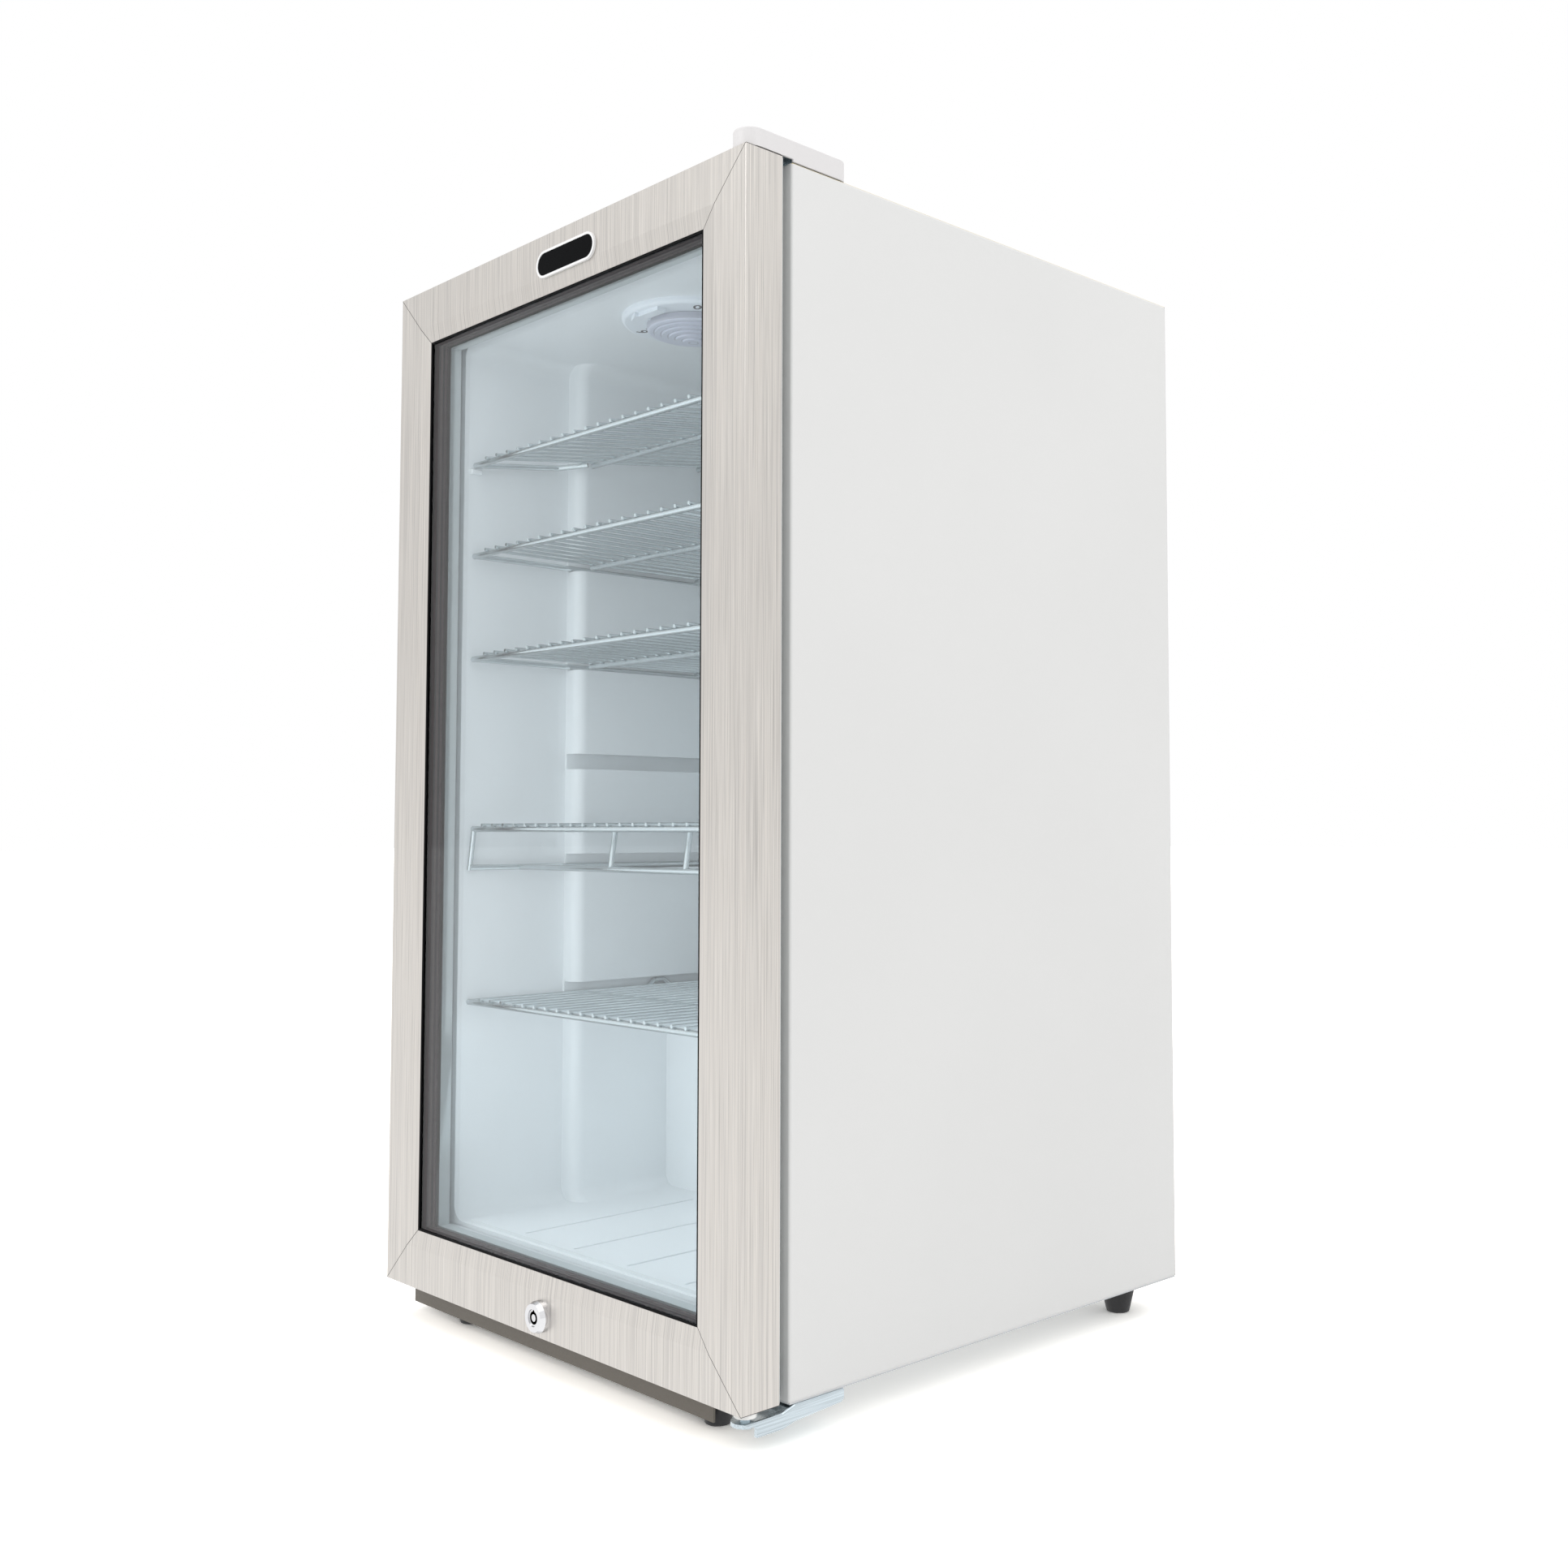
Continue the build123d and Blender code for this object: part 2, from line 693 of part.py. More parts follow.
def make_badge_rim():
    solid = badge_slot(72, 20, (door_front - 1.8, door_front))
    return solid - badge_slot(68.6, 16.6, (door_front - 2.8, door_front - 0.6))


def make_badge_plate():
    return badge_slot(68.4, 16.4, (door_front - 1.4, door_front - 0.6))


def make_lock_housing():
    bezel = Plane(origin=(lock_x, door_front, lock_z), x_dir=(1, 0, 0), z_dir=(0, -1, 0))
    profile = Polyline((0, 0), (11, 0), (11, 2.5), (9.6, 6), (0, 6), close=True)
    solid = revolve(make_face(profile), Axis.Y)
    solid = bezel * (Rot(90, 0, 0) * solid)
    solid += shaft(lock_x, lock_z, (door_front, door_back + 2.4), barrel_radius)
    return solid - shaft(lock_x, lock_z, (door_front - 8, door_back + 5), plug_radius + 0.06)


def make_lock_nut():
    plane = Plane(origin=(lock_x, door_back, lock_z), x_dir=(1, 0, 0), z_dir=(0, 1, 0))
    nut = extrude(plane * RegularPolygon(9.4, 6, major_radius=False), 2.4)
    return nut - lock_hole((door_front - 1, door_back + 5))


def make_lock_core():
    face_y = door_front - 5.2
    solid = shaft(lock_x, lock_z, (face_y, door_back + 2.8), plug_radius)
    groove = shaft(lock_x, lock_z, (face_y - 1, face_y + 4), 4.5)
    groove -= shaft(lock_x, lock_z, (face_y - 2, face_y + 5), 2.5)
    notch = slab((lock_x - 0.9, lock_x + 0.9), (face_y - 1, face_y + 4), (lock_z + 4, lock_z + 5.5))
    solid -= groove
    return solid - notch


def make_lock_cam():
    y = (door_back + 2.8, door_back + 4.8)
    arm = slab((lock_x, lock_x + 23), y, (lock_z - 4.5, lock_z + 4.5))
    hub = shaft(lock_x, lock_z, y, 6.5)
    tip = shaft(lock_x + 23, lock_z, y, 4.5)
    return arm + hub + tip


def make_cam_screw():
    y = door_back + 4.8
    solid = shaft(lock_x, lock_z, (y, y + 1.4), 3.5)
    return solid - slab((lock_x - 3, lock_x + 3), (y + 0.8, y + 2), (lock_z - 0.4, lock_z + 0.4))


def make_bush(top):
    if top:
        z = (door_top - 16, door_top)
    else:
        z = (door_bottom, door_bottom + 16)
    solid = post(hinge_x, hinge_y, z, bush_radius)
    if not top:
        solid += post(hinge_x, hinge_y, (door_bottom - 2.8, door_bottom), collar_radius)
    return solid - post(hinge_x, hinge_y, (z[0] - 4, z[1] + 1), bush_bore)


# ---------------------------------------------------------------- hinges and base

cover_x = (half - 22.0, half)
cover_y = (door_front + 2.0, door_front + 91.0)
cover_z = (door_top + 0.6, door_top + 0.6 + cover_height)
cover_wall = 1.4
cover_corner = 9.0


def make_top_cover():
    """Hollow moulding: over the door it clears the door's top, behind it stands on the cabinet."""
    top = cover_z[1]
    outer = stadium_prism(cover_x, cover_y, (cab_top, top), 11)
    outer = fillet(outer.edges().filter_by(Axis.Z).sort_by(Axis.Y)[-2:], cover_corner)
    outer = fillet(outer.edges().group_by(Axis.Z)[-1], 1.2)
    inner_x = (cover_x[0] + cover_wall, cover_x[1] - cover_wall)
    inner_y = (cover_y[0] + cover_wall, cover_y[1] - cover_wall)
    inner = stadium_prism(inner_x, inner_y, (cab_top - 1, top - cover_wall), 11 - cover_wall)
    inner = fillet(inner.edges().filter_by(Axis.Z).sort_by(Axis.Y)[-2:], cover_corner - cover_wall)
    solid = outer - inner
    over_door = slab((0, half + 1), (door_front - 1, cab_front + 1), (cab_top - 1, cover_z[0]))
    return solid - over_door


plate_low = door_top + 1.4
plate_high = plate_low + 2.5


def make_top_bracket():
    x = (cover_x[0] + 1.8, cover_x[1] - 1.8)
    y = (cover_y[0] + 1.8, cab_front + 44)
    solid = stadium_prism(x, y, (plate_low, plate_high), 9.2)
    solid += slab(x, (cab_front + 4, y[1]), (cab_top, plate_low))
    for screw_y in top_screw_ys:
        solid -= post(top_screw_x, screw_y, (cab_top - 1, plate_high + 1), 2.5)
    solid += post(hinge_x, hinge_y, (door_top - 14, plate_low + 1), pin_radius)
    return solid


def screw(x, y, seat, head, tip):
    """Pan-head screw: seat is the height under the head, tip the end of the shank."""
    direction = 1 if tip < seat else -1
    low, high = sorted((seat, seat + direction * head))
    solid = post(x, y, (low, high), 4.2)
    low, high = sorted((seat, tip))
    solid += post(x, y, (low, high), 2.5)
    slot_low, slot_high = sorted((seat + direction * (head - 0.9), seat + direction * (head + 1)))
    return solid - slab((x - 3, x + 3), (y - 0.5, y + 0.5), (slot_low, slot_high))


strap = 2.5
front_strap = (door_bottom - 7.6, door_bottom - 5.1)
rear_strap = (cab_bottom - strap, cab_bottom)
step_y = (door_back + 1.6, cab_front + 4.9)
strap_end = cab_front + 47.0
tongue_radius = 9.0
flange_drop = (9.6, 10.4, 8.2)


def strap_side(x, thickness, outline):
    """Plate standing on YZ, from x towards +X."""
    wire = Polyline(*[(x, y, z) for y, z in outline], close=True)
    return extrude(make_face(wire), thickness, dir=(1, 0, 0))


def make_bottom_bracket():
    """Formed strap: low under the door, stepping up under the cabinet, with an outer flange."""
    x = (hinge_x - tongue_radius, half)
    tongue = slab(x, (hinge_y, step_y[0]), front_strap)
    tongue += post(hinge_x, hinge_y, front_strap, tongue_radius)
    tongue -= slab((half, half + 5), (door_front - 1, cab_front), (0, cab_bottom))
    rear = slab((half - 30, half), (step_y[1], strap_end), rear_strap)
    ramp = strap_side(x[0], half - x[0], [
        (step_y[0], front_strap[0]), (step_y[1], rear_strap[0]),
        (step_y[1], rear_strap[1]), (step_y[0], front_strap[1])])
    flange_start = hinge_y + 3
    flange = strap_side(half - strap, strap, [
        (flange_start, front_strap[1]), (step_y[0], front_strap[1]),
        (step_y[1], rear_strap[1]), (strap_end, rear_strap[1]),
        (strap_end, rear_strap[1] - flange_drop[2] + 2), (strap_end - 2, rear_strap[1] - flange_drop[2]),
        (step_y[1], rear_strap[1] - flange_drop[1]), (step_y[0], front_strap[1] - flange_drop[0]),
        (flange_start, front_strap[1] - flange_drop[0])])
    solid = tongue + rear + ramp + flange
    bend = [edge for edge in solid.edges()
            if edge.center().X > half - 0.1 and edge.center().Z > front_strap[0] and edge.length > 8]
    solid = fillet(bend, 1.8)
    for screw_y in bottom_screw_ys:
        solid -= post(bottom_screw_x, screw_y, (rear_strap[0] - 1, rear_strap[1] + 1), 2.5)
    solid -= post(hinge_x, hinge_y, (front_strap[0] - 1, front_strap[1] + 1), pin_radius)
    return solid


def make_bottom_pin():
    solid = post(hinge_x, hinge_y, (front_strap[0], door_bottom + 14), pin_radius)
    solid += post(hinge_x, hinge_y, (front_strap[0] - 1.5, front_strap[0]), 5)
    return solid


def make_hinge_screws():
    """Screws of both hinges: down through the top bracket, up through the bottom one."""
    screws = [screw(top_screw_x, y, plate_high, 2.4, cab_top - 12) for y in top_screw_ys]
    seat = cab_bottom - strap
    screws += [screw(bottom_screw_x, y, seat, 2.4, cab_bottom + 12) for y in bottom_screw_ys]
    return Compound(children=screws)


kick_front = door_front + 24.0


def make_kick_strip():
    """Dark base channel under the door; it carries the front feet, and the lock cam drops through it."""
    x = (-half + 2, foot_front_x + 11)
    top = cab_bottom
    solid = slab(x, (kick_front, kick_front + 1.6), (5.5, top))
    solid += slab(x, (kick_front, cab_front + 6), (top - 1.6, top))
    solid -= slab((lock_x - 9, lock_x + 30), (door_back + 1.2, cab_front - 0.6), (top - 3, top + 1))
    for side in (-1, 1):
        solid -= post(side * foot_front_x, foot_front_y, (top - 3, top + 1), 4.05)
    return solid


def make_foot(x, y, top_radius, height, stem_top):
    """Tapered rubber foot on a stem."""
    cone = Pos(x, y, height / 2) * Cone(9, top_radius, height)
    cone = fillet(cone.edges().sort_by(Axis.Z)[0], 1.2)
    return cone + post(x, y, (height / 2, stem_top), 4)


def build_all():
    save(make_shell(), "outer_shell")
    save(make_back_panel(), "back_panel")
    save(make_base_plate(), "base_plate")
    save(make_liner(), "inner_liner")
    save(make_foam(), "insulation_foam")
    save(make_bay_wall(), "bay_wall")
    save(make_grille(), "compartment_grille")
    save(make_gland(), "cord_gland")
    save(make_tray(), "compressor_tray")
    save(make_mounts(), "compressor_mounts")
    save(make_compressor(), "compressor")
    save(make_relay_cover(), "relay_cover")
    save(make_suction_pipe(), "suction_pipe")
    save(make_discharge_pipe(), "discharge_pipe")
    save(make_drier(), "filter_drier")
    save(make_drip_tray(), "drip_tray")
    save(make_drain_tube(), "drain_tube")
    save(make_terminal_box(), "terminal_box")
    plate = slab((-150, 150), (cavity_back + liner_wall, cavity_back + liner_wall + 1.5),
                 (hump_top + 20, ceiling - 30))
    save(plate, "evaporator_plate")
    save(evaporator_tube(), "evaporator_tube")
    save(Compound(children=[condenser_tube(side) for side in (-1, 1)]), "condenser_tubes")
    save(make_thermostat_housing(), "thermostat_housing")
    save(make_thermostat_pointer(), "thermostat_pointer")
    save(make_thermostat_body(), "thermostat_body")
    save(make_thermostat_knob(), "thermostat_knob")
    save(make_top_bracket(), "top_hinge_bracket")
    save(make_top_cover(), "top_hinge_cover")
    save(make_bottom_bracket(), "bottom_hinge_bracket")
    save(make_bottom_pin(), "bottom_hinge_pin")
    save(make_hinge_screws(), "hinge_screws")
    save(make_kick_strip(), "kick_strip")
    for side, word in ((-1, "left"), (1, "right")):
        front = make_foot(side * foot_front_x, foot_front_y, 10.5, floor_gap - 1.8, cab_bottom - 0.2)
        save(front, "front_foot_" + word)
        rear = make_foot(side * foot_back_x, foot_back_y, 15, floor_gap, tray_top + 3)
        save(rear, "rear_foot_" + word)
    makers = [make_tilted_shelf, make_flat_shelf, make_flat_shelf, make_raised_shelf, make_bottom_shelf]
    levels = [top_shelf_level, groove_levels[4], groove_levels[3], groove_levels[1], groove_levels[0]]
    for number, (maker, level) in enumerate(zip(makers, levels), start=1):
        save(maker(level), "shelf_" + str(number))
    bottom = place_rail("door_bottom_rail") - lock_hole((door_front - 1, door_back + 1)) - bush_holes()
    save(bottom, "door_bottom_rail")
    save(place_rail("door_top_rail") - bush_holes(), "door_top_rail")
    save(place_rail("door_left_stile"), "door_left_stile")
    save(place_rail("door_right_stile") - bush_holes(), "door_right_stile")
    save(make_door_core(), "door_core")
    save(make_inner_frame(), "door_inner_frame")
    save(make_pane(outer_glass_y), "outer_glass")
    save(make_pane(inner_glass_y), "inner_glass")
    spacer_y = outer_glass_y + glass_thickness
    save(ring((spacer_y, inner_glass_y), 38, spacer_lip), "glass_spacer")
    save(ring((outer_glass_y - 1, outer_glass_y), rail_width, rail_width + 1.6), "glass_bead")
    save(make_gasket(), "door_gasket")
    save(make_badge_rim(), "badge_rim")
    save(make_badge_plate(), "badge_plate")
    save(make_lock_housing(), "lock_housing")
    save(make_lock_nut(), "lock_nut")
    save(make_lock_core(), "lock_core")
    save(make_lock_cam(), "lock_cam")
    save(make_cam_screw(), "lock_cam_screw")
    save(make_bush(True), "door_bush_top")
    save(make_bush(False), "door_bush_bottom")


build_all()
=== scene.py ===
import json
import math

import bmesh
import bpy
from mathutils import Matrix, Vector


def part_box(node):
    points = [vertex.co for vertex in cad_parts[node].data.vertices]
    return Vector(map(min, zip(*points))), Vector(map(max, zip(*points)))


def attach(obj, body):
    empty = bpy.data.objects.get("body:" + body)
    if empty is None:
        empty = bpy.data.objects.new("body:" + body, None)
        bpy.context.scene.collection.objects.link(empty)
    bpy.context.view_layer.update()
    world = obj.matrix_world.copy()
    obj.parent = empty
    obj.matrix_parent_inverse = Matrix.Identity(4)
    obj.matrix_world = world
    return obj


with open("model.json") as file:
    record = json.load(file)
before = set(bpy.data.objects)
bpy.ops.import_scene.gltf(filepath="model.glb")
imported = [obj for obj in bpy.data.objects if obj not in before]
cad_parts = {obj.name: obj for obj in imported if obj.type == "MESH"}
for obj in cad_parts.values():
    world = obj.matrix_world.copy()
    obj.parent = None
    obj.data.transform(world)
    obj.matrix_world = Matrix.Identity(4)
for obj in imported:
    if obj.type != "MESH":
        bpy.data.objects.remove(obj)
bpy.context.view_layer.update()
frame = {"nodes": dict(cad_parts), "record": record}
NODES = frame["nodes"]

# ------------------------------------------------------------------ helpers

# Nearly all values of a noise lie in this band.
NOISE_LOW, NOISE_HIGH = 0.3, 0.7

# Places of the colour sockets on a Mix node.
MIX_FACTOR, MIX_FIRST, MIX_SECOND, MIX_RESULT = 0, 6, 7, 2


def srgb(r, g, b):
    """Linear colour from 0-255 screen values."""
    def one(value):
        value /= 255
        return value / 12.92 if value <= 0.04045 else ((value + 0.055) / 1.055) ** 2.4
    return (one(r), one(g), one(b), 1.0)


def grey(value):
    return (value, value, value, 1)


def tinted(colour, factor):
    return (colour[0] * factor, colour[1] * factor, colour[2] * factor, 1.0)


class Tree:
    """Short spellings for building one material's node tree."""

    def __init__(self, name, roughness=0.5, metallic=0.0, **sockets):
        self.material = bpy.data.materials.new(name)
        self.material.use_nodes = True
        self.nodes = self.material.node_tree.nodes
        self.links = self.material.node_tree.links
        self.nodes.clear()
        self.out = self.nodes.new("ShaderNodeOutputMaterial")
        self.shader = self.nodes.new("ShaderNodeBsdfPrincipled")
        self.links.new(self.shader.outputs[0], self.out.inputs[0])
        self.shader.inputs["Roughness"].default_value = roughness
        self.shader.inputs["Metallic"].default_value = metallic
        for socket, value in sockets.items():
            self.shader.inputs[socket.replace("_", " ")].default_value = value
        self.coordinates = self.nodes.new("ShaderNodeTexCoord").outputs["Object"]

    def add(self, kind, **values):
        """New node; each value goes to the input of that name, or else to the property."""
        node = self.nodes.new("ShaderNode" + kind)
        for key, value in values.items():
            if key in node.inputs:
                node.inputs[key].default_value = value
            else:
                setattr(node, key, value)
        return node

    def noise(self, scale, detail=3.0, roughness=0.5, stretch=(1, 1, 1)):
        """Noise over the object coordinates times a stretch along each axis."""
        place = self.add("Mapping")
        place.inputs["Scale"].default_value = stretch
        self.links.new(self.coordinates, place.inputs["Vector"])
        return self.noise_at(place.outputs[0], scale, detail, roughness)

    def noise_at(self, place, scale, detail, roughness):
        node = self.add("TexNoise", Scale=scale, Detail=detail, Roughness=roughness)
        self.links.new(place, node.inputs["Vector"])
        return node.outputs["Fac"]

    def ramp(self, value, stops):
        """Colour ramp over value; stops is a list of (place, colour)."""
        node = self.add("ValToRGB")
        elements = node.color_ramp.elements
        while len(elements) < len(stops):
            elements.new(0.5)
        for element, (place, colour) in zip(elements, stops):
            element.position = place
            element.color = colour
        self.links.new(value, node.inputs[0])
        return node.outputs[0]

    def tones(self, noise, low, high):
        """Colour ramp from low to high over a noise."""
        return self.ramp(noise, [(NOISE_LOW, low), (NOISE_HIGH, high)])

    def spread(self, noise, low, high):
        """Maps a noise onto the numbers low to high."""
        node = self.add("MapRange")
        node.inputs["From Min"].default_value = NOISE_LOW
        node.inputs["From Max"].default_value = NOISE_HIGH
        node.inputs["To Min"].default_value = low
        node.inputs["To Max"].default_value = high
        self.links.new(noise, node.inputs["Value"])
        return node.outputs[0]

    def math(self, operation, *values):
        """One maths node over sockets or numbers."""
        node = self.add("Math", operation=operation)
        for socket, value in zip(node.inputs, values):
            if isinstance(value, (int, float)):
                socket.default_value = value
            else:
                self.links.new(value, socket)
        return node.outputs[0]

    def split(self, vector):
        """A vector as three sockets."""
        node = self.add("SeparateXYZ")
        self.links.new(vector, node.inputs[0])
        return node.outputs

    def place(self):
        """Object coordinates as three sockets."""
        return self.split(self.coordinates)

    def facing(self):
        """0 where the surface faces the eye, 1 at its outline."""
        return self.add("LayerWeight", Blend=0.5).outputs["Facing"]

    def mix(self, factor, first, second, blend="MIX"):
        """Mixes two colours; each value may be a socket, a number or a colour."""
        node = self.add("Mix", data_type="RGBA", blend_type=blend)
        for socket, value in ((MIX_FACTOR, factor), (MIX_FIRST, first), (MIX_SECOND, second)):
            if isinstance(value, (int, float, tuple)):
                node.inputs[socket].default_value = value
            else:
                self.links.new(value, node.inputs[socket])
        return node.outputs[MIX_RESULT]

    def colour(self, value):
        self.links.new(value, self.shader.inputs["Base Color"])

    def rough(self, value):
        self.links.new(value, self.shader.inputs["Roughness"])

    def bump(self, value, distance, strength):
        node = self.add("Bump", Strength=strength, Distance=distance)
        self.links.new(value, node.inputs["Height"])
        self.links.new(node.outputs[0], self.shader.inputs["Normal"])


# ------------------------------------------------------------------ door outline

RAILS_LOW, RAILS_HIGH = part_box("door_left_stile")
DOOR_HALF = -RAILS_LOW.x
DOOR_BOTTOM, DOOR_TOP = RAILS_LOW.z, RAILS_HIGH.z


def from_outline(t, low_extra=0.0):
    """Distances in from the door's side edge and from its nearer end edge, as two sockets.

    low_extra is taken off at the bottom.
    """
    x, _, z = t.place()
    side = t.math("SUBTRACT", DOOR_HALF, t.math("ABSOLUTE", x))
    from_top = t.math("SUBTRACT", DOOR_TOP, z)
    from_bottom = t.math("SUBTRACT", z, DOOR_BOTTOM + low_extra)
    return side, t.math("MINIMUM", from_top, from_bottom)


# ------------------------------------------------------------------ materials

GRAIN_BUMP = 0.00004  # height of brushed grain, metres
SIDE_FACE = 0.7  # a face is a side face when its normal's x is beyond this
MITRE_LINE = 0.0003
MITRE_DARKNESS = 0.92
NEAR_BLACK = grey(0.03)
SPACER_LINES = 0.0019  # half the depth from one line of the spacer to the next
GASKET_INNER = 0.0325  # from the door's outline to where the seal's inner wall begins
GASKET_LIFT = 0.009  # the seal starts this much further in at the bottom
# Below this depth the lock plug's recess gets painted shade, in this near-black.
RECESS_DEPTH = 0.0003
RECESS_PAINTED_SHADE = grey(0.012)
# The knob's dark lines at its steps are painted shade.
KNOB_STEP = 0.0054  # from one round step of the knob to the next
KNOB_FIRST = 0.0024  # added to the radius, so that the dark lines meet the steps
KNOB_SHADE_LINE = 0.0006  # half the width of the dark line at a step
GLASS_INDEX = 1.28


def brushed(name, colour, stretch, contrast, roughness):
    """Brushed metal: long fine streaks in colour, gloss and height, and slow patches."""
    t = Tree(name, roughness, 1.0)
    streaks = t.noise(1, 5, 0.62, stretch)
    wide = t.noise(1, 2, 0.5, tuple(v * 0.18 for v in stretch))
    slow = t.noise(5, 2)
    dark, light = tinted(colour, 1 - contrast), tinted(colour, 1 + contrast)
    base = t.ramp(streaks, [(NOISE_LOW, dark), (0.5, colour), (NOISE_HIGH, light)])
    base = t.mix(t.spread(wide, 0.0, 0.35), base, tinted(colour, 0.90))
    base = t.mix(t.spread(slow, 0.0, 0.20), base, tinted(colour, 1.06))
    t.colour(base)
    t.rough(t.spread(streaks, roughness - 0.07, roughness + 0.09))
    t.bump(streaks, GRAIN_BUMP, 0.5)
    return t.material


def door_steel(name, colour):
    """Brushed stainless with upright grain, coarse and fine, and a thin dark line at each mitre."""
    t = Tree(name, 0.34, 1.0)
    x, y, z = t.place()
    normal_x, _, _ = t.split(t.add("NewGeometry").outputs["Normal"])
    sideways = t.math("GREATER_THAN", t.math("ABSOLUTE", normal_x), SIDE_FACE)
    across = t.math("ADD", x, t.math("MULTIPLY", sideways, y))

    def grain(fine, along, detail, roughness):
        """Noise that is fine across the grain and long along it."""
        where = t.add("CombineXYZ")
        t.links.new(t.math("MULTIPLY", across, fine), where.inputs[0])
        t.links.new(t.math("MULTIPLY", z, along), where.inputs[2])
        return t.noise_at(where.outputs[0], 1, detail, roughness)

    fine = grain(2300, 12, 5, 0.62)
    coarse = grain(820, 4, 3, 0.55)
    slow = t.noise(4, 2)
    base = t.ramp(fine, [(0.30, tinted(colour, 0.72)), (0.5, colour), (0.72, tinted(colour, 1.20))])
    coarse_stops = [(0.34, (0.80, 0.80, 0.81, 1)), (0.5, grey(1)), (0.68, (1.05, 1.04, 1.03, 1))]
    base = t.mix(1.0, base, t.ramp(coarse, coarse_stops), "MULTIPLY")
    base = t.mix(t.spread(slow, 0.0, 0.20), base, tinted(colour, 1.05))
    side, end = from_outline(t)
    off_mitre = t.math("ABSOLUTE", t.math("SUBTRACT", side, end))
    mitre = t.math("MULTIPLY", t.math("LESS_THAN", off_mitre, MITRE_LINE), MITRE_DARKNESS)
    t.colour(t.mix(mitre, base, NEAR_BLACK))
    t.rough(t.spread(fine, 0.27, 0.43))
    t.bump(fine, GRAIN_BUMP, 0.5)
    return t.material


def wire(name, colour, roughness=0.2):
    """Smooth bright wire with a painted dark reflection towards its outline, and slow changes of
    tone and gloss.
    """
    t = Tree(name, roughness, 1.0)
    slow = t.noise(9, 2)
    # Painted reflection: the wire is darkened towards its outline, as if it mirrored darker
    # surroundings.
    shade = t.ramp(t.facing(), [(0.35, grey(1)), (0.85, (0.34, 0.37, 0.38, 1))])
    t.colour(t.mix(1.0, t.tones(slow, tinted(colour, 0.95), colour), shade, "MULTIPLY"))
    t.rough(t.spread(slow, roughness - 0.03, roughness + 0.05))
    return t.material


def spacer_bar(name, colour):
    """Dark spacer between the panes, with fine lines along its length at steady depths."""
    t = Tree(name, Specular_IOR_Level=0.2)
    _, y, _ = t.place()
    line = t.math("DIVIDE", t.math("PINGPONG", y, SPACER_LINES), SPACER_LINES)
    base = t.ramp(line, [(0.12, tinted(colour, 0.1)), (0.4, colour), (0.9, tinted(colour, 2.2))])
    fine = t.noise(300)
    t.colour(t.mix(t.spread(fine, 0.0, 0.4), base, tinted(colour, 0.7)))
    t.rough(t.spread(fine, 0.42, 0.6))
    return t.material


def gasket_vinyl(name, colour, inner):
    """Soft seal: colour outside, and a painted lighter tone on the wall that faces the cold space,
    standing in for light reaching it.
    """
    t = Tree(name, 0.6)
    depth = t.math("MINIMUM", *from_outline(t, GASKET_LIFT))
    fine = t.noise(700, 2)
    # Painted light: the seal's inner wall gets the lighter tone.
    base = t.mix(t.math("GREATER_THAN", depth, GASKET_INNER), colour, inner)
    t.colour(t.mix(t.spread(fine, 0.0, 0.25), base, tinted(colour, 0.85)))
    t.rough(t.spread(fine, 0.55, 0.68))
    t.bump(fine, 0.00006, 0.6)
    return t.material


def lock_metal(name, colour, recess=False):
    """Bright chrome with a painted dark reflection towards its outline; a plug with a recess gets
    painted shade inside it.
    """
    t = Tree(name, 0.12, 1.0)
    # Painted reflection: the chrome is darker towards its outline.
    base = t.ramp(t.facing(), [(0.45, colour), (0.80, tinted(colour, 0.25))])
    mottle = t.noise(90)
    base = t.mix(t.spread(mottle, 0.0, 0.2), base, tinted(colour, 0.92))
    if recess:
        low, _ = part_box("lock_core")
        _, y, _ = t.place()
        # Painted shade: near-black inside the plug's recess.
        base = t.mix(t.math("GREATER_THAN", y, low.y + RECESS_DEPTH), base, RECESS_PAINTED_SHADE)
    t.colour(base)
    t.rough(t.spread(mottle, 0.08, 0.2))
    return t.material


def ridged_knob(name, colour):
    """Moulded knob with painted shade in a line at the foot of each round step."""
    t = Tree(name, 0.34)
    low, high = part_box("thermostat_knob")
    x, y, _ = t.place()
    across = t.math("SUBTRACT", x, (low.x + high.x) / 2)
    along = t.math("SUBTRACT", y, (low.y + high.y) / 2)
    squares = t.math("ADD", t.math("POWER", across, 2.0), t.math("POWER", along, 2.0))
    step = t.math("MODULO", t.math("ADD", t.math("SQRT", squares), KNOB_FIRST), KNOB_STEP)
    line = t.math("LESS_THAN", t.math("ABSOLUTE", t.math("SUBTRACT", step, KNOB_SHADE_LINE)), KNOB_SHADE_LINE)
    slow = t.noise(30)
    base = t.tones(slow, tinted(colour, 0.96), tinted(colour, 1.02))
    # Painted shade: a dark line at the foot of each step.
    t.colour(t.mix(t.math("MULTIPLY", line, 0.55), base, tinted(colour, 0.45)))
    t.rough(t.spread(slow, 0.3, 0.42))
    return t.material


def painted(name, colour, roughness=0.38, grain=900, depth=0.00003, vary=0.03, **sockets):
    """Coated sheet or moulded plastic: faint orange peel and slow tone changes."""
    t = Tree(name, roughness, **sockets)
    fine = t.noise(grain, 2)
    base = t.tones(t.noise(4), tinted(colour, 1 - vary), tinted(colour, 1 + vary * 0.5))
    t.colour(t.mix(t.spread(fine, 0.0, 0.16), base, tinted(colour, 0.93)))
    t.rough(t.spread(fine, roughness - 0.05, roughness + 0.07))
    t.bump(fine, depth, 0.6)
    return t.material


def rubber(name, colour, roughness=0.7, **sockets):
    return painted(name, colour, roughness, 700, 0.00006, 0.12, **sockets)


